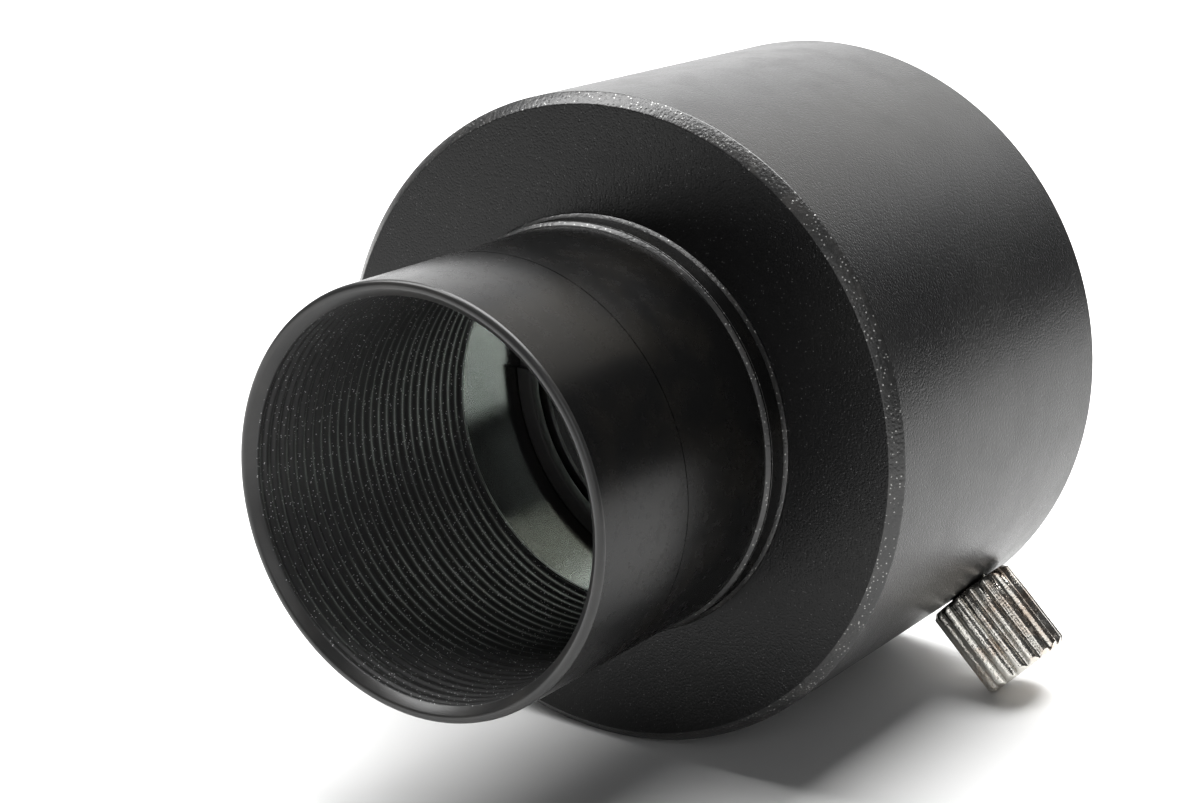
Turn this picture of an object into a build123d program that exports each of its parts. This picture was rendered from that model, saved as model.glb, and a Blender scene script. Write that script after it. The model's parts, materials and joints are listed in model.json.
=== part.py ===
"""Eyepiece holder with a 24.5 mm nosepiece, a 31.75 mm socket, a fixed lens group and one thumbscrew.

Millimetres. The origin is on the optical axis at the end of the nosepiece's plain wall, where its
collar begins. +Y runs along the optical axis to the eye side, and +Z is up. The holder lies on its
side on a table, touching it with the body and with the head of the thumbscrew.
"""
import os
from math import acos, atan2, cos, degrees, hypot, sin

from build123d import *

# Nosepiece: the tube that slides into a 24.5 mm focuser
nose_radius = 12.25
nose_length = 16.2
nose_bore_radius = 11.3
nose_rim_chamfer = 0.15
nose_mouth_chamfer = 0.65
collar_radius = 12.5
collar_length = 1.8
collar_chamfer = 0.2
stub_radius = 11.98
stub_length = 1.6

# Baffle thread inside the nosepiece, drawn as a row of rings
baffle_pitch = 0.75
baffle_depth = 0.3
baffle_turns = 24
baffle_lead = 0.9

# Body: the wide sleeve with the 31.75 mm socket
body_radius = 19.7
body_length = 26.5
body_front_chamfer = 0.65
body_rear_chamfer = 0.3
collar_seat_radius = 12.52
collar_seat_depth = 0.3
collar_seat_chamfer = 0.2
stub_hole_radius = 12.0
cell_hole_radius = 13.2
socket_radius = 15.9
socket_lead_in = 0.4

# Lens cell and what it holds: a smooth tube in front, then the lenses between a ring and a lip
cell_radius = 13.18
cell_length = 11.9
cell_wall_radius = 12.4
cell_lip_radius = 11.4
lens_radius = 12.36
front_ring_inner_radius = 11.3
front_ring_thickness = 0.8
front_lens_edge = 1.5
front_lens_sag = 0.6
spacer_inner_radius = 11.5
spacer_thickness = 0.3
rear_lens_edge = 1.6
rear_lens_bulge = 0.5
ring_to_cell_front = 7.0
slot_width = 1.2
slot_depth = 0.4

# Thumbscrew, M3 x 0.5, and its soft tip
screw_from_rear = 5.0
screw_hole_radius = 1.5
shank_radius = 1.45
head_radius = 2.95
head_end = 25.95
head_gap = 0.1
head_chamfer = 0.3
flute_count = 18
flute_radius = 0.34
flute_inset = 0.12
tip_recess = 0.05
tip_pad_radius = 1.25
tip_pad_length = 0.8
tip_neck_radius = 0.7
tip_neck_length = 1.2
tip_play = 0.05

# Places along the optical axis
mouth_y = -nose_length
body_front_y = collar_length
body_rear_y = body_front_y + body_length
cell_front_y = body_front_y + stub_length
cell_rear_y = cell_front_y + cell_length
ring_y = cell_front_y + ring_to_cell_front
front_lens_y = ring_y + front_ring_thickness
spacer_y = front_lens_y + front_lens_edge
rear_lens_y = spacer_y + spacer_thickness
rear_lens_back_y = rear_lens_y + rear_lens_edge
collar_seat_y = body_front_y + collar_seat_depth
screw_y = body_rear_y - screw_from_rear

# The curved faces of the two lenses, and where the cell's lip touches the rear one
hollow_radius = (lens_radius**2 + front_lens_sag**2) / (2 * front_lens_sag)
dome_radius = (lens_radius**2 + rear_lens_bulge**2) / (2 * rear_lens_bulge)
dome_top_y = rear_lens_back_y + rear_lens_bulge
lip_y = dome_top_y - dome_radius + (dome_radius**2 - cell_lip_radius**2) ** 0.5

# The screw leans so far from straight down that its head and the body touch the same table
head_rim = head_end - head_chamfer
screw_lean = acos(body_radius / hypot(head_rim, head_radius)) + atan2(head_radius, head_rim)
screw_way = (sin(screw_lean), 0, -cos(screw_lean))
screw_plane = Plane(origin=(0, screw_y, 0), x_dir=(0, 1, 0), z_dir=screw_way)
tip_end = socket_radius + tip_recess
shank_end = tip_end + tip_pad_length + tip_play
head_start = body_radius + head_gap

os.makedirs("parts", exist_ok=True)


def outer_ring(part, end):
    """The largest circle at the front (0) or the rear (-1) of a turned piece."""
    return part.edges().filter_by(GeomType.CIRCLE).group_by(Axis.Y)[end].sort_by(SortBy.RADIUS)[-1]


def inner_ring(part, end):
    """The smallest circle at the front (0) or the rear (-1) of a turned piece."""
    return part.edges().filter_by(GeomType.CIRCLE).group_by(Axis.Y)[end].sort_by(SortBy.RADIUS)[0]


# Body: shallow seat for the collar, then a stepped bore for the stub, the lens cell and the eyepiece
with BuildPart() as body_shell:
    with BuildSketch(Plane.XY):
        with BuildLine():
            Polyline(
                (collar_seat_radius, body_front_y),
                (body_radius, body_front_y),
                (body_radius, body_rear_y),
                (socket_radius, body_rear_y),
                (socket_radius, cell_rear_y),
                (cell_hole_radius, cell_rear_y),
                (cell_hole_radius, cell_front_y),
                (stub_hole_radius, cell_front_y),
                (stub_hole_radius, collar_seat_y),
                (collar_seat_radius, collar_seat_y),
                close=True,
            )
        make_face()
    revolve(axis=Axis.Y)
    chamfer(outer_ring(body_shell, 0), body_front_chamfer)
    chamfer(inner_ring(body_shell, 0), collar_seat_chamfer)
    chamfer(outer_ring(body_shell, -1), body_rear_chamfer)
    chamfer(inner_ring(body_shell, -1), socket_lead_in)
    with BuildSketch(screw_plane.offset(nose_radius)):
        Circle(screw_hole_radius)
    extrude(amount=body_radius, mode=Mode.SUBTRACT)
body_shell.part.label = "body_shell"
export_step(body_shell.part, "parts/body_shell.step")

# Nosepiece: thin tube, low collar in the body's seat, stub screwed into the front wall
with BuildPart() as nosepiece_barrel:
    with BuildSketch(Plane.XY):
        with BuildLine():
            Polyline(
                (nose_bore_radius, mouth_y),
                (nose_radius, mouth_y),
                (nose_radius, 0),
                (collar_radius - collar_chamfer, 0),
                (collar_radius, collar_chamfer),
                (collar_radius, collar_seat_y),
                (stub_radius, collar_seat_y),
                (stub_radius, cell_front_y),
                (nose_bore_radius, cell_front_y),
                close=True,
            )
        make_face()
    revolve(axis=Axis.Y)
    chamfer(outer_ring(nosepiece_barrel, 0), nose_rim_chamfer)
    chamfer(inner_ring(nosepiece_barrel, 0), nose_mouth_chamfer)
    with BuildSketch(Plane.XY):
        for turn in range(baffle_turns):
            with Locations((nose_bore_radius, mouth_y + baffle_lead + turn * baffle_pitch)):
                Polygon(
                    (-baffle_depth, 0),
                    (baffle_depth, baffle_pitch / 2),
                    (-baffle_depth, baffle_pitch),
                    align=None,
                )
    revolve(axis=Axis.Y, mode=Mode.SUBTRACT)
nosepiece_barrel.part.label = "nosepiece_barrel"
export_step(nosepiece_barrel.part, "parts/nosepiece_barrel.step")

# Lens cell: smooth tube behind the nosepiece, with a lip at its rear that stops the lenses
with BuildPart() as lens_cell:
    with BuildSketch(Plane.XY):
        with BuildLine():
            Polyline(
                (cell_wall_radius, cell_front_y),
                (cell_radius, cell_front_y),
                (cell_radius, cell_rear_y),
                (cell_lip_radius, cell_rear_y),
                (cell_lip_radius, lip_y),
                (cell_wall_radius, lip_y),
                close=True,
            )
        make_face()
    revolve(axis=Axis.Y)
    with BuildSketch(Plane.XZ.offset(-cell_rear_y)):
        Rectangle(2 * body_radius, slot_width)
    extrude(amount=slot_depth, mode=Mode.SUBTRACT)
lens_cell.part.label = "lens_cell"
export_step(lens_cell.part, "parts/lens_cell.step")

# Retaining ring: screws into the cell in front of the lenses, with two spanner slots
with BuildPart() as retaining_ring:
    with BuildSketch(Plane.XZ.offset(-front_lens_y)):
        Circle(lens_radius)
        Circle(front_ring_inner_radius, mode=Mode.SUBTRACT)
    extrude(amount=front_ring_thickness)
    with BuildSketch(Plane.XZ.offset(-ring_y)):
        Rectangle(2 * body_radius, slot_width)
    extrude(amount=-slot_depth, mode=Mode.SUBTRACT)
retaining_ring.part.label = "retaining_ring"
export_step(retaining_ring.part, "parts/retaining_ring.step")

# Front lens: slightly hollow on the side that faces the mouth, flat behind
with BuildPart() as front_lens:
    with BuildSketch(Plane.XY):
        with BuildLine():
            RadiusArc((0, front_lens_y + front_lens_sag), (lens_radius, front_lens_y), hollow_radius)
            Polyline(
                (lens_radius, front_lens_y),
                (lens_radius, spacer_y),
                (0, spacer_y),
                (0, front_lens_y + front_lens_sag),
            )
        make_face()
    revolve(axis=Axis.Y)
front_lens.part.label = "front_lens"
export_step(front_lens.part, "parts/front_lens.step")

# Thin ring that keeps the two lenses apart
with BuildPart() as lens_spacer:
    with BuildSketch(Plane.XZ.offset(-rear_lens_y)):
        Circle(lens_radius)
        Circle(spacer_inner_radius, mode=Mode.SUBTRACT)
    extrude(amount=spacer_thickness)
lens_spacer.part.label = "lens_spacer"
export_step(lens_spacer.part, "parts/lens_spacer.step")

# Rear lens: flat in front, gently domed towards the eyepiece
with BuildPart() as rear_lens:
    with BuildSketch(Plane.XY):
        with BuildLine():
            RadiusArc((0, dome_top_y), (lens_radius, rear_lens_back_y), dome_radius)
            Polyline(
                (lens_radius, rear_lens_back_y),
                (lens_radius, rear_lens_y),
                (0, rear_lens_y),
                (0, dome_top_y),
            )
        make_face()
    revolve(axis=Axis.Y)
rear_lens.part.label = "rear_lens"
export_step(rear_lens.part, "parts/rear_lens.step")

# Thumbscrew: fluted head and plain shank, hollow at the end for the tip's neck
with BuildPart() as thumbscrew:
    with BuildSketch(screw_plane.offset(head_start)):
        Circle(head_radius)
    extrude(amount=head_end - head_start)
    chamfer(thumbscrew.edges().filter_by(GeomType.CIRCLE), head_chamfer)
    with BuildSketch(screw_plane.offset(head_start)):
        with PolarLocations(head_radius + flute_inset, flute_count):
            Circle(flute_radius)
    extrude(amount=head_end - head_start, mode=Mode.SUBTRACT)
    with BuildSketch(screw_plane.offset(shank_end)):
        Circle(shank_radius)
    extrude(amount=head_start - shank_end)
    with BuildSketch(screw_plane.offset(shank_end)):
        Circle(tip_neck_radius + tip_play)
    extrude(amount=tip_neck_length + tip_play, mode=Mode.SUBTRACT)
thumbscrew.part.label = "thumbscrew"
export_step(thumbscrew.part, "parts/thumbscrew.step")

# Soft tip: pad that presses on the eyepiece, with a neck that turns freely in the shank
with BuildPart() as screw_tip:
    with BuildSketch(screw_plane.offset(tip_end)):
        Circle(tip_pad_radius)
    extrude(amount=tip_pad_length)
    with BuildSketch(screw_plane.offset(tip_end + tip_pad_length)):
        Circle(tip_neck_radius)
    extrude(amount=tip_neck_length)
screw_tip.part.label = "screw_tip"
export_step(screw_tip.part, "parts/screw_tip.step")

print("screw leans", round(degrees(screw_lean), 3), "degrees from straight down, at y", round(screw_y, 3))
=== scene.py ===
import json
from math import ceil, cos, pi, radians, sin, sqrt

import bmesh
import bpy
from mathutils import Matrix, Vector


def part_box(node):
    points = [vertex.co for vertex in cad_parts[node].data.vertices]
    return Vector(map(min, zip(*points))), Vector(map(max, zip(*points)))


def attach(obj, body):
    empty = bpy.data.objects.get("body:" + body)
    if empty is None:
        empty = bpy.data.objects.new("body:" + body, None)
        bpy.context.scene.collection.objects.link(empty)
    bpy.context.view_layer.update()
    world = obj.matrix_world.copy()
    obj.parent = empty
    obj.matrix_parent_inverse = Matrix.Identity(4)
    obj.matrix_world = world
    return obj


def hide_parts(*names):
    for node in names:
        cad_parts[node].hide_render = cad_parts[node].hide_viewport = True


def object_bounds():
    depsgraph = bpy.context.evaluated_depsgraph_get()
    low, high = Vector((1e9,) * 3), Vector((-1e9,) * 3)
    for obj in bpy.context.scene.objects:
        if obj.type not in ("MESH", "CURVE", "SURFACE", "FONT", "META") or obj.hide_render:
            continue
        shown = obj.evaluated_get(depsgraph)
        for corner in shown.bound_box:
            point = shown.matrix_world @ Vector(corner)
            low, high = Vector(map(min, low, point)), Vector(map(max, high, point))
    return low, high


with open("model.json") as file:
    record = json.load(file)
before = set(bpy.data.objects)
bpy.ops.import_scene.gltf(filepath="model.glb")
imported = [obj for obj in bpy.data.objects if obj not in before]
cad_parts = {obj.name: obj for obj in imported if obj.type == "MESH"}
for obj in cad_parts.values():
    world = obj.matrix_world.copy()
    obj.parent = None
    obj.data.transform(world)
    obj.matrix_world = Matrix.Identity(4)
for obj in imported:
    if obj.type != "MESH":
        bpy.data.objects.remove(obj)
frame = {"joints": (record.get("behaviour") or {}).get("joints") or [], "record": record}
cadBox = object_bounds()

# Shapes are drawn in millimetres and made metres when a piece is finished
mm = 0.001
mounts = {mount["name"]: mount for mount in frame["record"]["mounts"]}
joints = {joint["name"]: joint for joint in frame["joints"]}
scene = bpy.context.scene
meshing = {"turnSteps": 256, "roundingSegments": 3, "smallTurnSteps": 64, "weldGap": 1e-5,
           "threadWeldGap": 1e-4, "cutGap": 1e-6, "planeReach": 0.03, "cutterLength": 40}


# Front and rear of a CAD node along the optical axis, and its radius, in millimetres
def spanOf(node):
    low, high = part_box(node)
    return low.y / mm, high.y / mm, high.z / mm


# Rounds the given corners of an outline that is still a line of points
def roundCorners(bm, corners, size, segments):
    bmesh.ops.bevel(bm, geom=corners, offset=size, offset_type="OFFSET", segments=segments,
                    profile=0.5, affect="VERTICES", material=-1)


# Draws an outline of (radius, place along Y, corner rounding) and turns it about Y
def turned(outline, steps=meshing["turnSteps"], closed=True):
    bm = bmesh.new()
    corners = [bm.verts.new((radius, y, 0)) for radius, y, rounding in outline]
    for first, second in zip(corners, corners[1:]):
        bm.edges.new((first, second))
    if closed:
        bm.edges.new((corners[-1], corners[0]))
    for size in sorted({rounding for radius, y, rounding in outline if rounding}):
        chosen = [corner for corner, row in zip(corners, outline) if row[2] == size]
        roundCorners(bm, chosen, size, meshing["roundingSegments"])
    bmesh.ops.spin(bm, geom=bm.verts[:] + bm.edges[:], cent=(0, 0, 0), axis=(0, 1, 0),
                   dvec=(0, 0, 0), angle=2 * pi, steps=steps, use_merge=True)
    bmesh.ops.remove_doubles(bm, verts=bm.verts, dist=meshing["weldGap"])
    bmesh.ops.recalc_face_normals(bm, faces=bm.faces)
    return bm


# A screw thread about Y between two planes, open at both ends
def threaded(rootRadius, crestRadius, pitch, rounding, front, rear, steps, segments):
    bm = bmesh.new()
    halves = 2 * (ceil((rear - front) / pitch) + 3)  # with spare turns, cut off below
    chain = []
    for half in range(halves + 1):
        radius = crestRadius if half % 2 else rootRadius
        chain.append(bm.verts.new((radius, front + (half / 2 - 2) * pitch, 0)))
        if half:
            bm.edges.new(chain[-2:])
    roundCorners(bm, chain[1:-1], rounding, segments)
    bmesh.ops.spin(bm, geom=bm.verts[:] + bm.edges[:], cent=(0, 0, 0), axis=(0, 1, 0),
                   dvec=(0, pitch / steps, 0), angle=2 * pi, steps=steps, use_merge=False)
    bmesh.ops.remove_doubles(bm, verts=bm.verts, dist=meshing["threadWeldGap"])
    for place, outwards in ((front, -1), (rear, 1)):
        bmesh.ops.bisect_plane(bm, geom=bm.verts[:] + bm.edges[:] + bm.faces[:],
                               dist=meshing["cutGap"], plane_co=(0, place, 0),
                               plane_no=(0, outwards, 0), clear_outer=True)
    return bm


# Adds one bmesh to another
def joined(bm, other):
    mesh = bpy.data.meshes.new("joined")
    other.to_mesh(mesh)
    other.free()
    bm.from_mesh(mesh)
    bpy.data.meshes.remove(mesh)
    return bm


# Boundary edges whose ends lie close to a plane across Y
def openEdges(bm, place):
    return [edge for edge in bm.edges if edge.is_boundary
            and all(abs(vert.co.y - place) < meshing["planeReach"] for vert in edge.verts)]


# Cuts one closed mesh out of another
def carved(bm, cutter):
    parts = []
    for name, source in (("carvedPiece", bm), ("cutter", cutter)):
        mesh = bpy.data.meshes.new(name)
        source.to_mesh(mesh)
        source.free()
        parts.append(bpy.data.objects.new(name, mesh))
        scene.collection.objects.link(parts[-1])
    cut = parts[0].modifiers.new("Cut", "BOOLEAN")
    cut.operation = "DIFFERENCE"
    cut.solver = "EXACT"
    cut.object = parts[1]
    solved = parts[0].evaluated_get(bpy.context.evaluated_depsgraph_get())
    result = bpy.data.meshes.new_from_object(solved)
    carvedMesh = bmesh.new()
    carvedMesh.from_mesh(result)
    for part in parts:
        bpy.data.objects.remove(part)
    bpy.data.meshes.remove(result)
    return carvedMesh


# A box that cuts a spanner slot right across a turned piece
def slotCutter(width, low, high):
    bm = bmesh.new()
    bmesh.ops.create_cube(bm, size=1)
    bmesh.ops.scale(bm, verts=bm.verts, vec=(meshing["cutterLength"], high - low, width))
    bmesh.ops.translate(bm, verts=bm.verts, vec=(0, (low + high) / 2, 0))
    return bm


# Makes the finished object, shades it and hands it to the frame
def finished(name, bm, materials, body, sharpAngle=30, steady=True):
    bmesh.ops.scale(bm, verts=bm.verts, vec=(mm, mm, mm))
    mesh = bpy.data.meshes.new(name)
    bm.to_mesh(mesh)
    bm.free()
    mesh.shade_smooth()
    mesh.set_sharp_from_angle(angle=radians(sharpAngle))
    for material in materials:
        mesh.materials.append(material)
    piece = bpy.data.objects.new(name, mesh)
    scene.collection.objects.link(piece)
    if steady:
        evened = piece.modifiers.new("Weighted Normal", "WEIGHTED_NORMAL")
        evened.keep_sharp = True
    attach(piece, body)
    print("made", name, len(mesh.polygons), "faces")
    return piece


# Links a value that comes from another node to a socket, and sets any other on it
def feed(tree, socket, value):
    if isinstance(value, bpy.types.NodeSocket):
        tree.links.new(value, socket)
    elif socket.type == "RGBA":
        socket.default_value = (*value, 1)
    else:
        socket.default_value = value


# A node with its settings and the values of its inputs
def addNode(tree, kind, settings=None, **inputs):
    node = tree.nodes.new(kind)
    for name, value in (settings or {}).items():
        setattr(node, name, value)
    for name, value in inputs.items():
        feed(tree, node.inputs[name.replace("_", " ")], value)
    return node


def addMath(tree, operation, first, second):
    node = tree.nodes.new("ShaderNodeMath")
    node.operation = operation
    for socket, value in zip(node.inputs, (first, second)):
        feed(tree, socket, value)
    return node.outputs[0]


def addRange(tree, value, low, high, toLow=0.0, toHigh=1.0):
    node = addNode(tree, "ShaderNodeMapRange", {"interpolation_type": "SMOOTHSTEP"}, Value=value,
                   From_Min=low, From_Max=high, To_Min=toLow, To_Max=toHigh)
    return node.outputs["Result"]


def addMix(tree, factor, first, second):
    node = tree.nodes.new("ShaderNodeMix")
    node.data_type = "RGBA"
    colours = [socket for socket in node.inputs if socket.type == "RGBA"]
    for socket, value in zip([node.inputs[0]] + colours, (factor, first, second)):
        feed(tree, socket, value)
    return [socket for socket in node.outputs if socket.type == "RGBA"][0]


# An empty node group with the named inputs and outputs
def newGroup(name, inputs, outputs):
    tree = bpy.data.node_groups.new(name, "ShaderNodeTree")
    for way, sockets in (("INPUT", inputs), ("OUTPUT", outputs)):
        for socketName in sockets:
            kind = "NodeSocketVector" if socketName == "Vector" else "NodeSocketFloat"
            tree.interface.new_socket(name=socketName, in_out=way, socket_type=kind)
    entry = tree.nodes.new("NodeGroupInput")
    leaving = tree.nodes.new("NodeGroupOutput")
    return tree, entry.outputs, leaving.inputs


grainAndGlintShape = {"detail": 2.0, "roughness": 0.6, "pitScale": 0.55, "pitReach": 0.6,
              "noiseShare": 0.6, "pitShare": 0.4, "speckScale": 0.8, "speckRim": 0.32,
              "speckCore": 0.18}


# Bead-blasted grain: a height for bump, and a mask of a few bright flat specks, painted glints
def makeGrainAndGlints():
    shape = grainAndGlintShape
    tree, entry, leaving = newGroup("Blasted Grain And Painted Glints", ["Vector", "Fineness", "Speck Share"],
                                    ["Height", "Painted Glints"])
    fine = addNode(tree, "ShaderNodeTexNoise", Vector=entry["Vector"], Scale=entry["Fineness"],
                   Detail=shape["detail"], Roughness=shape["roughness"])
    pits = addNode(tree, "ShaderNodeTexVoronoi", Vector=entry["Vector"],
                   Scale=addMath(tree, "MULTIPLY", entry["Fineness"], shape["pitScale"]))
    dents = addRange(tree, pits.outputs["Distance"], 0.0, shape["pitReach"])
    height = addMath(tree, "ADD",
                     addMath(tree, "MULTIPLY", fine.outputs["Fac"], shape["noiseShare"]),
                     addMath(tree, "MULTIPLY", dents, shape["pitShare"]))
    tree.links.new(height, leaving["Height"])
    # Specks mask: the sparkle of the blasted surface, painted into the colour as glints
    glintCells = addNode(tree, "ShaderNodeTexVoronoi", Vector=entry["Vector"],
                     Scale=addMath(tree, "MULTIPLY", entry["Fineness"], shape["speckScale"]))
    chance = addNode(tree, "ShaderNodeSeparateColor", Color=glintCells.outputs["Color"])
    small = addRange(tree, glintCells.outputs["Distance"], shape["speckRim"], shape["speckCore"])
    rare = addMath(tree, "LESS_THAN", chance.outputs[0], entry["Speck Share"])
    tree.links.new(addMath(tree, "MULTIPLY", small, rare), leaving["Painted Glints"])
    return tree


marksShape = {"broadDetail": 3.0, "broadRoughness": 0.55, "wander": 0.6, "blotchLow": 0.42,
              "blotchHigh": 0.66, "finerScale": 6.0, "finerDetail": 4.0, "finerRoughness": 0.65,
              "smudgeLow": 0.4, "smudgeHigh": 0.7}


# Handling marks: broad soft blotches, and finer patchy smudges inside them
def makeMarks():
    shape = marksShape
    tree, entry, leaving = newGroup("Handling Marks", ["Vector", "Size"], ["Blotches", "Smudges"])
    broad = addNode(tree, "ShaderNodeTexNoise", Vector=entry["Vector"], Scale=entry["Size"],
                    Detail=shape["broadDetail"], Roughness=shape["broadRoughness"],
                    Distortion=shape["wander"])
    blotches = addRange(tree, broad.outputs["Fac"], shape["blotchLow"], shape["blotchHigh"])
    tree.links.new(blotches, leaving["Blotches"])
    finer = addNode(tree, "ShaderNodeTexNoise", Vector=entry["Vector"],
                    Scale=addMath(tree, "MULTIPLY", entry["Size"], shape["finerScale"]),
                    Detail=shape["finerDetail"], Roughness=shape["finerRoughness"])
    patchy = addRange(tree, finer.outputs["Fac"], shape["smudgeLow"], shape["smudgeHigh"])
    tree.links.new(addMath(tree, "MULTIPLY", patchy, broad.outputs["Fac"]), leaving["Smudges"])
    return tree


grainAndGlintGroup = makeGrainAndGlints()
marksGroup = makeMarks()


# Starts a material and returns its tree, its shader and a coordinate that stays with the piece
def newMaterial(name, **values):
    material = bpy.data.materials.new(name)
    material.use_nodes = True
    tree = material.node_tree
    shader = tree.nodes["Principled BSDF"]
    for inputName, value in values.items():
        shader.inputs[inputName.replace("_", " ")].default_value = value
    place = tree.nodes.new("ShaderNodeTexCoord").outputs["Object"]
    return material, tree, shader, place


def addGroup(tree, group, **inputs):
    return addNode(tree, "ShaderNodeGroup", {"node_tree": group}, **inputs).outputs


# The grain as bump on the shader, its depth in metres
def addBump(tree, shader, grainAndGlints, depth):
    bump = addNode(tree, "ShaderNodeBump", Height=grainAndGlints["Height"], Distance=depth, Strength=1.0)
    tree.links.new(bump.outputs[0], shader.inputs["Normal"])


# Anodised aluminium, blasted or satin: dark base tone, grain, handling marks, and bright specks of
# painted glint with some gloss and metal
def anodised(name, look):
    material, tree, shader, place = newMaterial(name, Specular_IOR_Level=look["gloss"])
    grainAndGlints = addGroup(tree, grainAndGlintGroup, Vector=place, Fineness=look["fineness"],
                     Speck_Share=look["paintedGlintShare"])
    marks = addGroup(tree, marksGroup, Vector=place, Size=look["markSize"])
    # Base tone with handling marks; in the edge and baffle looks both tones are lifted as painted
    # light
    toned = addMix(tree, marks["Blotches"], look["baseTone"], look["markTone"])
    # Bright specks in the colour are painted glints; their lower roughness and metal below are the
    # surface's own
    colour = addMix(tree, grainAndGlints["Painted Glints"], toned, look["paintedGlintColour"])
    tree.links.new(colour, shader.inputs["Base Color"])
    uneven = addMath(tree, "MULTIPLY", marks["Smudges"], look["smudge"])
    rough = addMath(tree, "ADD", uneven, look["roughness"])
    speckGloss = addMath(tree, "MULTIPLY", grainAndGlints["Painted Glints"], look["speckGloss"])
    tree.links.new(addMath(tree, "SUBTRACT", rough, speckGloss), shader.inputs["Roughness"])
    metal = addMath(tree, "MULTIPLY", grainAndGlints["Painted Glints"], look["speckMetal"])
    tree.links.new(metal, shader.inputs["Metallic"])
    addBump(tree, shader, grainAndGlints, look["depth"])
    return material


# Speck colours in these looks are painted glints
bodyLook = {"baseTone": (0.005, 0.005, 0.0052), "markTone": (0.008, 0.008, 0.0078), "gloss": 0.24,
            "fineness": 10500.0, "depth": 0.000023, "markSize": 60.0, "smudge": 0.08,
            "roughness": 0.29, "paintedGlintShare": 0.08, "paintedGlintColour": (0.09, 0.09, 0.09),
            "speckGloss": 0.08, "speckMetal": 0.15}
# Lighter copy of the body's look for chamfers and the collar's edges: a painted highlight with
# denser painted glints; its higher gloss is the surface's own
paintedHighlightEdgeLook = dict(bodyLook, baseTone=(0.010, 0.010, 0.010), markTone=(0.022, 0.021, 0.02), gloss=0.55,
                fineness=7000.0, depth=0.000028, markSize=500.0, roughness=0.3, paintedGlintShare=0.35,
                paintedGlintColour=(0.3, 0.3, 0.29), speckMetal=0.4)
noseLook = dict(bodyLook, baseTone=(0.003, 0.003, 0.003), markTone=(0.0052, 0.0048, 0.0042), gloss=0.18,
                fineness=14000.0, depth=0.000003, markSize=210.0, smudge=0.07, roughness=0.25,
                paintedGlintShare=0.0)
rimLook = dict(noseLook, baseTone=(0.016, 0.016, 0.016), markTone=(0.024, 0.023, 0.022), gloss=0.4,
               roughness=0.3)
# The bore's thread: tone lifted above the body's as painted glare and painted light in its dark
# grooves, with bright specks of painted glint
paintedGlareBaffleLook = dict(bodyLook, baseTone=(0.021, 0.021, 0.021), markTone=(0.026, 0.026, 0.026), gloss=0.5,
                  depth=0.000012, roughness=0.42, paintedGlintShare=0.2, paintedGlintColour=(0.55, 0.55, 0.55),
                  speckMetal=0.2)
cellLook = dict(noseLook, baseTone=(0.012, 0.012, 0.012), markTone=(0.018, 0.017, 0.015), gloss=1.0,
                roughness=0.15, smudge=0.05)
ringLook = dict(cellLook, baseTone=(0.04, 0.04, 0.04), markTone=(0.05, 0.05, 0.048), gloss=0.3,
                roughness=0.5, smudge=0.1)
bodyBlack = anodised("Blasted Black", bodyLook)
paintedHighlightEdges = anodised("Edges With Painted Highlight", paintedHighlightEdgeLook)
noseBlack = anodised("Satin Black", noseLook)
rimBlack = anodised("Rim Black", rimLook)
baffleBlackPaintedGlare = anodised("Baffle Black With Painted Glare", paintedGlareBaffleLook)
cellBlack = anodised("Cell Black", cellLook)
ringBlack = anodised("Ring Black", ringLook)

# The nickel's speck colour is a painted glint
nickelLook = {"plate": (0.70, 0.68, 0.63), "warm": (0.52, 0.42, 0.34),
              "paintedGlintColour": (0.92, 0.9, 0.86), "paintedGlintShare": 0.25, "fineness": 9000.0,
              "depth": 0.00002, "markSize": 420.0, "roughness": 0.16, "smudge": 0.3}


# Bright nickel plate: grainy flanks with bright specks of painted glint, warm patches where the
# plate is thin
def makeNickel():
    look = nickelLook
    material, tree, shader, place = newMaterial("Nickel Plate", Metallic=1.0)
    grainAndGlints = addGroup(tree, grainAndGlintGroup, Vector=place, Fineness=look["fineness"],
                     Speck_Share=look["paintedGlintShare"])
    marks = addGroup(tree, marksGroup, Vector=place, Size=look["markSize"])
    patches = addMix(tree, marks["Blotches"], look["plate"], look["warm"])
    # Bright specks in the plate's colour are painted glints
    colour = addMix(tree, grainAndGlints["Painted Glints"], patches, look["paintedGlintColour"])
    tree.links.new(colour, shader.inputs["Base Color"])
    uneven = addMath(tree, "MULTIPLY", marks["Smudges"], look["smudge"])
    rough = addMath(tree, "ADD", uneven, look["roughness"])
    tree.links.new(rough, shader.inputs["Roughness"])
    addBump(tree, shader, grainAndGlints, look["depth"])
    return material


glassLook = {"clear": (0.955, 0.992, 0.965), "hazy": (0.945, 0.984, 0.958), "bending": 1.52,
             "gloss": 0.2, "coating": 0.2, "coatingRoughness": 0.02,
             "coatingTint": (0.95, 1.0, 0.96, 1), "markSize": 300.0, "dust": 0.06}


# Coated glass: clear with a pale green cast, and faint dust on its surface
def makeGlass():
    look = glassLook
    material, tree, shader, place = newMaterial(
        "Coated Glass", Transmission_Weight=1.0, IOR=look["bending"],
        Specular_IOR_Level=look["gloss"], Coat_Weight=look["coating"],
        Coat_Roughness=look["coatingRoughness"], Coat_Tint=look["coatingTint"])
    marks = addGroup(tree, marksGroup, Vector=place, Size=look["markSize"])
    colour = addMix(tree, marks["Blotches"], look["clear"], look["hazy"])
    tree.links.new(colour, shader.inputs["Base Color"])
    rough = addRange(tree, marks["Smudges"], 0.0, 1.0, 0.0, look["dust"])
    tree.links.new(rough, shader.inputs["Roughness"])
    return material


nylonLook = {"milky": (0.80, 0.78, 0.72), "soiled": (0.66, 0.63, 0.56), "scatter": 0.3,
             "scatterReach": (0.6 * mm, 0.5 * mm, 0.4 * mm), "fineness": 5000.0,
             "markSize": 500.0, "smoothest": 0.4, "roughest": 0.6, "depth": 0.000008}


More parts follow.
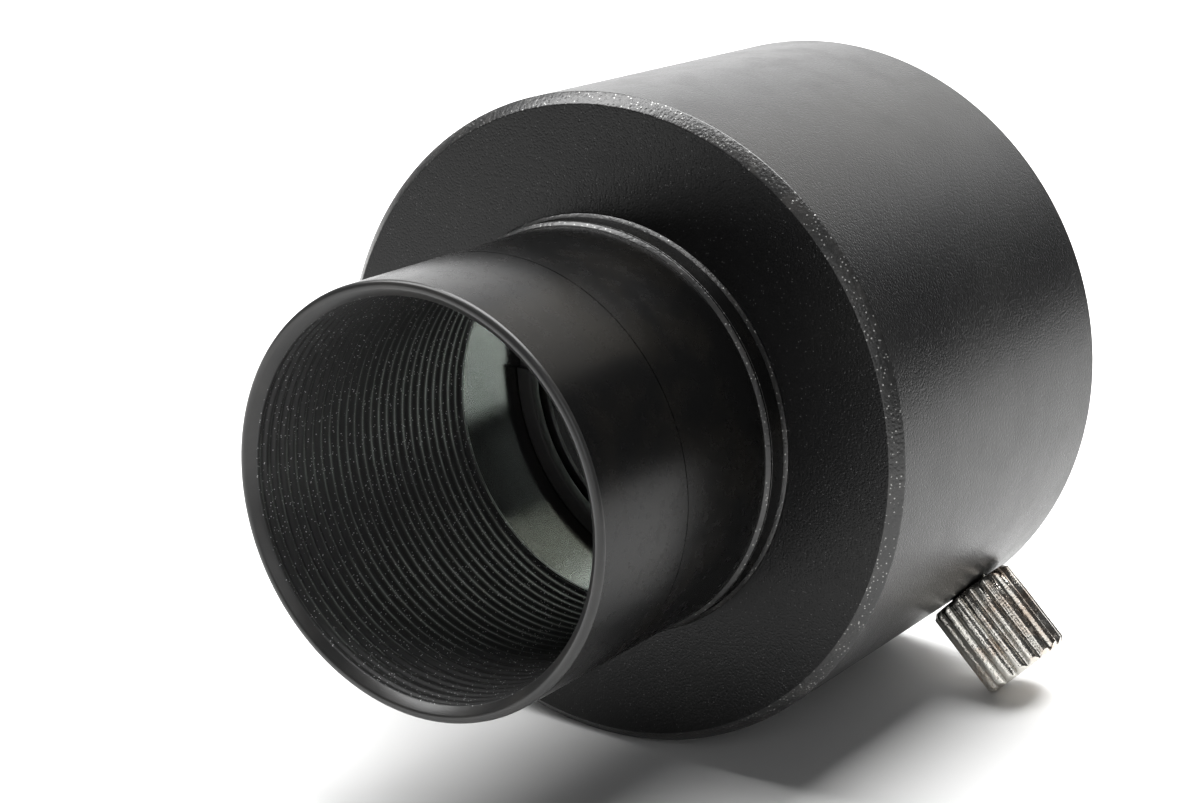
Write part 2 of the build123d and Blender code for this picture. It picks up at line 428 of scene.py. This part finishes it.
# Natural nylon of the screw's soft tip
def makeNylon():
    look = nylonLook
    material, tree, shader, place = newMaterial("Natural Nylon", Subsurface_Weight=look["scatter"],
                                                Subsurface_Radius=look["scatterReach"])
    grainAndGlints = addGroup(tree, grainAndGlintGroup, Vector=place, Fineness=look["fineness"], Speck_Share=0.0)
    marks = addGroup(tree, marksGroup, Vector=place, Size=look["markSize"])
    colour = addMix(tree, marks["Blotches"], look["milky"], look["soiled"])
    tree.links.new(colour, shader.inputs["Base Color"])
    rough = addRange(tree, marks["Smudges"], 0.0, 1.0, look["smoothest"], look["roughest"])
    tree.links.new(rough, shader.inputs["Roughness"])
    addBump(tree, shader, grainAndGlints, look["depth"])
    return material


nickel = makeNickel()
coatedGlass = makeGlass()
nylon = makeNylon()
print("materials made")

# Places that more than one piece needs, in millimetres
mouthY, barrelRearY, collarRadius = spanOf("nosepiece_barrel")
faceY, rimY, bodyRadius = spanOf("body_shell")
cellFrontY, cellRearY, cellRadius = spanOf("lens_cell")
wallRadius = mounts["nosepiece"]["dims"]["r_mm"]
socketRadius = mounts["eyepiece_socket"]["dims"]["r_mm"]
seatDepth = 0.3  # how far the collar sits in the body's face

# The screw and its hole are drawn along Y, and this lays them along the screw's own axis
screwAxis = Vector(joints["screw_turn"]["axis"])
screwPlace = Vector(joints["screw_turn"]["pos_m"]) / mm
screwLean = Vector((0, 1, 0)).rotation_difference(screwAxis)
screwTurn = Matrix.Translation(screwPlace) @ screwLean.to_matrix().to_4x4()

barrelShape = {"boreRadius": 11.3, "threadRoot": 11.52, "pitch": 0.75, "threadRounding": 0.16,
               "threadSegments": 3, "threadInset": 0.65, "threadEnd": 0.3, "threadGap": 0.02,
               "stubRadius": 11.98, "stubRounding": 0.08, "footRadius": 12.7, "footLength": 0.2,
               "footRounding": 0.02, "footSink": 0.01, "ringLineY": 0.34, "ringLineDepth": 0.04,
               "ringLineRear": 0.06, "ringLineFront": 0.02, "collarBevel": 0.2,
               "collarRounding": 0.03, "collarFrontRounding": 0.02, "rootRounding": 0.04,
               "lineFromMouth": 8.1, "lineWidth": 0.07, "lineDepth": 0.08, "mouthRounding": 0.28,
               "mouthBevel": 0.5, "lipRounding": 0.1, "bevelRounding": 0.08,
               "boreReach": 0.1, "edgeLean": 0.2, "rimLean": 0.1, "sharpAngle": 50}


# Nosepiece: satin outside, with a baffle thread along its bore and a collar at its root
def makeBarrel():
    shape = barrelShape
    bore = shape["boreRadius"]
    threadFront = mouthY + shape["threadInset"]
    threadRear = barrelRearY - shape["threadEnd"]
    lineY = mouthY + shape["lineFromMouth"]
    lineEnd = lineY + shape["lineWidth"]
    lineFloor = wallRadius - shape["lineDepth"]
    ringY = shape["ringLineY"]
    outline = [
        (bore, threadRear + shape["threadGap"], 0),
        (bore, barrelRearY, shape["stubRounding"]),
        (shape["stubRadius"], barrelRearY, shape["stubRounding"]),
        (shape["stubRadius"], faceY + seatDepth, 0),
        (collarRadius, faceY + seatDepth, 0),
        (collarRadius, faceY + shape["footLength"] - shape["footSink"], 0),
        (shape["footRadius"], faceY - shape["footSink"], shape["footRounding"]),
        (collarRadius, faceY - shape["footLength"], 0),
        (collarRadius, ringY + shape["ringLineRear"], 0),
        (collarRadius - shape["ringLineDepth"], ringY, 0),
        (collarRadius, ringY - shape["ringLineFront"], 0),
        (collarRadius, shape["collarBevel"], shape["collarRounding"]),
        (collarRadius - shape["collarBevel"], 0, shape["collarFrontRounding"]),
        (wallRadius, 0, shape["rootRounding"]),
        (wallRadius, lineEnd, 0),
        (lineFloor, lineEnd, 0),
        (lineFloor, lineY, 0),
        (wallRadius, lineY, 0),
        (wallRadius, mouthY, shape["mouthRounding"]),
        (bore + shape["mouthBevel"], mouthY, shape["lipRounding"]),
        (bore, mouthY + shape["mouthBevel"], shape["bevelRounding"]),
        (bore, threadFront - shape["threadGap"], 0),
    ]
    bm = turned(outline, closed=False)
    for face in bm.faces:
        middle = face.calc_center_median()
        lean = abs(face.normal.y)
        # The bore and its thread take the baffle look, lifted as painted glare
        if Vector((middle.x, middle.z)).length < bore + shape["boreReach"]:
            face.material_index = 1
        # The collar's edges and line take the lighter look, a painted highlight
        elif 0 < middle.y < faceY and lean > shape["edgeLean"]:  # the collar's edges and line
            face.material_index = 2
        elif middle.y < mouthY + shape["mouthBevel"] and lean > shape["rimLean"]:
            face.material_index = 3
    thread = threaded(shape["threadRoot"], bore, shape["pitch"], shape["threadRounding"],
                      threadFront, threadRear, meshing["turnSteps"], shape["threadSegments"])
    for face in thread.faces:
        face.material_index = 1
    joined(bm, thread)
    for place in (threadFront, threadRear):
        bmesh.ops.bridge_loops(bm, edges=openEdges(bm, place))
    bmesh.ops.recalc_face_normals(bm, faces=bm.faces)
    piece = finished("nosepieceBarrel", bm, [noseBlack, baffleBlackPaintedGlare, paintedHighlightEdges, rimBlack],
                     "adapter", sharpAngle=shape["sharpAngle"])
    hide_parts("nosepiece_barrel")


makeBarrel()

bodyShape = {"turnSteps": 320, "frontChamfer": 0.65, "frontRounding": 0.06, "rearChamfer": 0.3,
             "rearRounding": 0.05, "socketLeadIn": 0.4, "socketFloorRounding": 0.1,
             "cellHoleGap": 0.02, "stubHole": 12.0, "seatRadius": 12.52, "seatChamfer": 0.2,
             "seatRounding": 0.03, "screwHole": 1.5, "holeChamfer": 0.15,
             "chamferLean": (0.3, 0.95), "chamferReach": 1.0}


# Body: blasted sleeve with the eyepiece socket behind and the screw's hole in its side
def makeBody():
    shape = bodyShape
    seatY = faceY + seatDepth
    front, rear = shape["frontRounding"], shape["rearRounding"]
    cellHole = cellRadius + shape["cellHoleGap"]
    outline = [
        (shape["seatRadius"] + shape["seatChamfer"], faceY, shape["seatRounding"]),
        (bodyRadius - shape["frontChamfer"], faceY, front),
        (bodyRadius, faceY + shape["frontChamfer"], front),
        (bodyRadius, rimY - shape["rearChamfer"], rear),
        (bodyRadius - shape["rearChamfer"], rimY, rear),
        (socketRadius + shape["socketLeadIn"], rimY, rear),
        (socketRadius, rimY - shape["socketLeadIn"], rear),
        (socketRadius, cellRearY, shape["socketFloorRounding"]),
        (cellHole, cellRearY, rear),
        (cellHole, cellFrontY, 0),
        (shape["stubHole"], cellFrontY, 0),
        (shape["stubHole"], seatY, 0),
        (shape["seatRadius"], seatY, 0),
        (shape["seatRadius"], faceY + shape["seatChamfer"], shape["seatRounding"]),
    ]
    bm = turned(outline, steps=shape["turnSteps"])
    hole, chamfer = shape["screwHole"], shape["holeChamfer"]
    cutter = turned([(0, wallRadius, 0), (hole, wallRadius, 0), (hole, bodyRadius - chamfer, 0),
                     (hole + 2 * chamfer, bodyRadius + chamfer, 0), (0, bodyRadius + chamfer, 0)],
                    steps=meshing["smallTurnSteps"], closed=False)
    bmesh.ops.transform(cutter, matrix=screwTurn, verts=cutter.verts)
    bm = carved(bm, cutter)
    least, most = shape["chamferLean"]
    # The chamfers of the face and the seat take the lighter look, a painted highlight
    for face in bm.faces:  # the chamfers of the face and of the collar's seat are bright
        nearFace = face.calc_center_median().y < faceY + shape["chamferReach"]
        if least < abs(face.normal.y) < most and nearFace:
            face.material_index = 1
    piece = finished("bodySleeve", bm, [bodyBlack, paintedHighlightEdges], "adapter")
    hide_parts("body_shell")


makeBody()

lensShape = {"frontSag": 0.6, "rearBulge": 0.5, "curvePoints": 20}
cellShape = {"wall": 12.4, "lipRadius": 11.4, "slotWidth": 1.2, "slotDepth": 0.4, "slotSpare": 1,
             "fineRounding": 0.08, "fullRounding": 0.1, "lipRounding": 0.05, "lensGap": 0.12,
             "wallGap": 0.02}


# Lens cell: a smooth cup with two slots in its rear lip
def makeCell():
    shape = cellShape
    fine, full = shape["fineRounding"], shape["fullRounding"]
    lensEdgeY = spanOf("rear_lens")[1] - lensShape["rearBulge"]
    bm = turned([(shape["wall"], cellFrontY, fine), (cellRadius, cellFrontY, full),
                 (cellRadius, cellRearY, fine), (shape["lipRadius"], cellRearY, full),
                 (shape["lipRadius"], lensEdgeY + shape["lensGap"], shape["lipRounding"]),
                 (shape["wall"], lensEdgeY + shape["wallGap"], 0)])
    bm = carved(bm, slotCutter(shape["slotWidth"], cellRearY - shape["slotDepth"],
                               cellRearY + shape["slotSpare"]))
    piece = finished("lensCell", bm, [cellBlack], "adapter")
    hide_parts("lens_cell")


ringShape = {"bore": 11.3, "bevel": 0.15, "rounding": 0.08, "slotWidth": 1.2, "slotDepth": 0.4,
             "slotSpare": 1}


# Retaining ring, with two slots in its front
def makeRing():
    shape = ringShape
    rounding = shape["rounding"]
    frontY, rearY, radius = spanOf("retaining_ring")
    bm = turned([(shape["bore"], frontY, shape["bevel"]), (radius, frontY, rounding),
                 (radius, rearY, 0), (shape["bore"], rearY, rounding)])
    bm = carved(bm, slotCutter(shape["slotWidth"], frontY - shape["slotSpare"],
                               frontY + shape["slotDepth"]))
    piece = finished("retainingRing", bm, [ringBlack], "adapter")
    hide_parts("retaining_ring")


spacerShape = {"bore": 11.5, "rounding": 0.05}


# Spacer between the two lenses
def makeSpacer():
    bore, rounding = spacerShape["bore"], spacerShape["rounding"]
    frontY, rearY, radius = spanOf("lens_spacer")
    bm = turned([(bore, frontY, rounding), (radius, frontY, rounding),
                 (radius, rearY, rounding), (bore, rearY, rounding)])
    piece = finished("lensSpacer", bm, [ringBlack], "adapter")
    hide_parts("lens_spacer")


# Half outline of a curved lens face, from the axis out to its edge, which lies further forward
def lensCurve(centreY, drop, radius):
    points = lensShape["curvePoints"]
    sphere = (radius ** 2 + drop ** 2) / (2 * drop)
    return [(radius * step / points,
             centreY - (sphere - sqrt(sphere ** 2 - (radius * step / points) ** 2)), 0)
            for step in range(points + 1)]


# Front lens, hollow in front
def makeFrontLens():
    frontY, rearY, radius = spanOf("front_lens")
    sag = lensShape["frontSag"]
    hollow = lensCurve(frontY + sag, sag, radius)
    bm = turned(hollow + [(radius, rearY, 0), (0, rearY, 0)], closed=False)
    piece = finished("frontLens", bm, [coatedGlass], "adapter", steady=False)
    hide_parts("front_lens")


# Rear lens, domed behind
def makeRearLens():
    frontY, rearY, radius = spanOf("rear_lens")
    dome = lensCurve(rearY, lensShape["rearBulge"], radius)
    bm = turned([(0, frontY, 0), (radius, frontY, 0)] + dome[::-1], closed=False)
    piece = finished("rearLens", bm, [coatedGlass], "adapter", steady=False)
    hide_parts("rear_lens")


makeCell()
makeRing()
makeSpacer()
makeFrontLens()
makeRearLens()

screwShape = {"headRadius": 2.95, "headStart": 19.8, "headEnd": 25.95, "ridges": 18,
              "ridgeDepth": 0.27, "ridgePower": 1.6, "pointsPerRidge": 12, "endBevel": 0.3,
              "bevelSteps": 4, "capInset": 0.25, "dishInset": 0.12, "dishDepth": 0.06,
              "flatReach": 1e-4, "shankRadius": 1.45, "threadRoot": 1.17, "threadPitch": 0.5,
              "threadRounding": 0.08, "threadSegments": 2, "shankEnd": 16.8, "threadStart": 0.15,
              "coneEnd": 0.13, "coneDepth": 0.12, "headOverlap": 0.1, "endHole": 0.75,
              "endHoleDepth": 1.25, "sharpAngle": 40}


# The screw's head: a ring of ridges drawn up along Z, bevelled at both ends, then laid along Y
def makeHead():
    shape = screwShape
    length = shape["headEnd"] - shape["headStart"]
    bevel, steps = shape["endBevel"], shape["bevelSteps"]
    bm = bmesh.new()
    bmesh.ops.create_circle(bm, cap_ends=False, radius=shape["headRadius"],
                            segments=shape["ridges"] * shape["pointsPerRidge"])
    ends = [bevel * step / steps for step in range(1, steps + 1)]
    stations = ends + [length / 3, 2 * length / 3]
    stations += [length - end for end in reversed(ends)] + [length]
    rim = bm.edges[:]
    reached = 0
    for station in stations:
        grown = bmesh.ops.extrude_edge_only(bm, edges=rim)["geom"]
        rim = [part for part in grown if isinstance(part, bmesh.types.BMEdge)]
        moved = [part for part in grown if isinstance(part, bmesh.types.BMVert)]
        bmesh.ops.translate(bm, verts=moved, vec=(0, 0, station - reached))
        reached = station
    for vert in bm.verts:  # the ridges, cut back to a cone at both ends
        angle = vert.co.to_2d().angle_signed(Vector((1, 0)), 0)
        valley = (0.5 - 0.5 * cos(shape["ridges"] * angle)) ** shape["ridgePower"]
        ridge = shape["headRadius"] - shape["ridgeDepth"] * valley
        cone = shape["headRadius"] - bevel + min(vert.co.z, length - vert.co.z)
        scale = min(ridge, cone) / vert.co.to_2d().length
        vert.co.x *= scale
        vert.co.y *= scale
    for level in (0, length):
        loop = [edge for edge in bm.edges if edge.is_boundary
                and all(abs(vert.co.z - level) < shape["flatReach"] for vert in edge.verts)]
        cap = bmesh.ops.contextual_create(bm, geom=loop)["faces"]
        dish = -shape["dishDepth"] if level else 0  # only the outer end is dished
        bmesh.ops.inset_region(bm, faces=cap, thickness=shape["capInset"], depth=0)
        bmesh.ops.inset_region(bm, faces=cap, thickness=shape["dishInset"], depth=dish)
    bmesh.ops.rotate(bm, verts=bm.verts, cent=(0, 0, 0), matrix=Matrix.Rotation(-pi / 2, 3, "X"))
    bmesh.ops.translate(bm, verts=bm.verts, vec=(0, shape["headStart"], 0))
    return bm


# Thumbscrew: the head on a threaded shank, whose end has a hole for the tip's neck
def makeThumbscrew():
    shape = screwShape
    shankEnd, root = shape["shankEnd"], shape["threadRoot"]
    threadFront, coneRear = shankEnd + shape["threadStart"], shankEnd + shape["coneEnd"]
    shankRear = shape["headStart"] + shape["headOverlap"]
    holeEnd = shankEnd + shape["endHoleDepth"]
    shank = threaded(root, shape["shankRadius"], shape["threadPitch"], shape["threadRounding"],
                     threadFront, shankRear, meshing["smallTurnSteps"], shape["threadSegments"])
    socket = turned([(root, coneRear, 0), (root - shape["coneDepth"], shankEnd, 0),
                     (shape["endHole"], shankEnd, 0), (shape["endHole"], holeEnd, 0),
                     (0, holeEnd, 0)], steps=meshing["smallTurnSteps"], closed=False)
    joined(shank, socket)
    bmesh.ops.bridge_loops(shank, edges=openEdges(shank, (threadFront + coneRear) / 2))
    bmesh.ops.contextual_create(shank, geom=openEdges(shank, shankRear))
    bm = joined(makeHead(), shank)
    bmesh.ops.recalc_face_normals(bm, faces=bm.faces)
    bmesh.ops.transform(bm, matrix=screwTurn, verts=bm.verts)
    piece = finished("thumbscrewHead", bm, [nickel], "thumbscrew",
                     sharpAngle=shape["sharpAngle"])
    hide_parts("thumbscrew")


tipShape = {"radius": 1.25, "end": 15.95, "length": 0.8, "endRounding": 0.2, "rearRounding": 0.1,
            "neckRadius": 0.7, "neckLength": 1.2}


# Soft tip: a pad on a neck that sits in the shank's end
def makeTip():
    shape = tipShape
    padRear = shape["end"] + shape["length"]
    neckRear = padRear + shape["neckLength"]
    rounding = shape["rearRounding"]
    bm = turned([(0, shape["end"], 0), (shape["radius"], shape["end"], shape["endRounding"]),
                 (shape["radius"], padRear, rounding), (shape["neckRadius"], padRear, 0),
                 (shape["neckRadius"], neckRear, rounding), (0, neckRear, 0)],
                steps=meshing["smallTurnSteps"], closed=False)
    bmesh.ops.transform(bm, matrix=screwTurn, verts=bm.verts)
    piece = finished("screwTip", bm, [nylon], "screw_tip")
    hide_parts("screw_tip")


makeThumbscrew()
makeTip()

studio = {"floorHalf": 2.0, "floorColour": (0.8, 0.8, 0.795), "floorWear": 0.99,
          "floorMarks": 20.0, "floorGloss": 0.1, "floorRoughness": 0.9,
          "worldColour": (0.5, 0.51, 0.53), "worldStrength": 0.1}
softboxes = [  # name, azimuth from +Y towards -X, elevation, distance, width, height, watts, colour
    ("backWall", 27, 19, 0.45, 0.7, 0.3, 1.36, (1, 1, 1)),
    ("backStrip", -4, 40, 0.5, 0.32, 0.12, 0.14, (1, 0.94, 0.84)),
    ("overhead", 8, 76, 0.5, 0.42, 0.42, 6.4, (1, 1, 1)),
    ("upperLeft", 112, 52, 0.5, 0.26, 0.26, 2.3, (1, 1, 1)),
    ("frontFill", -146, 20, 0.5, 0.3, 0.3, 0.42, (1, 1, 1)),
]
viewpoint = {"place": (77.78, -115.197, 44.267), "azimuth": 33.658, "elevation": 16.926,
             "roll": 1.419, "lens": 74.958, "sensor": 36, "nearest": 0.005}


# Pale floor under the lowest point of the object
def makeFloor():
    bm = bmesh.new()
    bmesh.ops.create_grid(bm, x_segments=1, y_segments=1, size=studio["floorHalf"])
    bmesh.ops.translate(bm, verts=bm.verts, vec=(0, 0, cadBox[0][2]))
    mesh = bpy.data.meshes.new("paleFloor")
    bm.to_mesh(mesh)
    bm.free()
    floor = bpy.data.objects.new("paleFloor", mesh)
    scene.collection.objects.link(floor)
    material, tree, shader, place = newMaterial(
        "Pale Floor", Specular_IOR_Level=studio["floorGloss"],
        Roughness=studio["floorRoughness"])
    marks = addGroup(tree, marksGroup, Vector=place, Size=studio["floorMarks"])
    pale = studio["floorColour"]
    worn = [studio["floorWear"] * part for part in pale]
    colour = addMix(tree, marks["Blotches"], pale, worn)
    tree.links.new(colour, shader.inputs["Base Color"])
    mesh.materials.append(material)


# Soft boxes round the middle of the object, and a faint grey world
def makeLights():
    world = bpy.data.worlds.new("Studio")
    world.use_nodes = True
    background = world.node_tree.nodes["Background"]
    background.inputs["Color"].default_value = (*studio["worldColour"], 1)
    background.inputs["Strength"].default_value = studio["worldStrength"]
    scene.world = world
    middle = Vector((0, (mouthY + rimY) / 2 * mm, 0))
    for name, azimuth, elevation, distance, width, height, watts, colour in softboxes:
        around, up = radians(azimuth), radians(elevation)
        outwards = Vector((-sin(around) * cos(up), cos(around) * cos(up), sin(up)))
        lamp = bpy.data.lights.new(name, "AREA")
        lamp.shape = "RECTANGLE"
        lamp.size = width
        lamp.size_y = height
        lamp.energy = watts
        lamp.color = colour
        softbox = bpy.data.objects.new(name, lamp)
        softbox.location = middle + distance * outwards
        softbox.rotation_euler = outwards.to_track_quat("Z", "Y").to_euler()
        scene.collection.objects.link(softbox)


# Camera in front of the mouth, a little above it and on the screw's side
def makeCamera():
    camera = bpy.data.objects.new("camera", bpy.data.cameras.new("camera"))
    camera.data.lens = viewpoint["lens"]
    camera.data.sensor_width = viewpoint["sensor"]
    camera.data.clip_start = viewpoint["nearest"]
    camera.matrix_world = (Matrix.Translation(Vector(viewpoint["place"]) * mm)
                           @ Matrix.Rotation(radians(viewpoint["azimuth"]), 4, "Z")
                           @ Matrix.Rotation(radians(90 - viewpoint["elevation"]), 4, "X")
                           @ Matrix.Rotation(radians(viewpoint["roll"]), 4, "Z"))
    scene.collection.objects.link(camera)
    scene.camera = camera


makeFloor()
makeLights()
makeCamera()
scene.view_settings.view_transform = "Standard"
print("studio made")
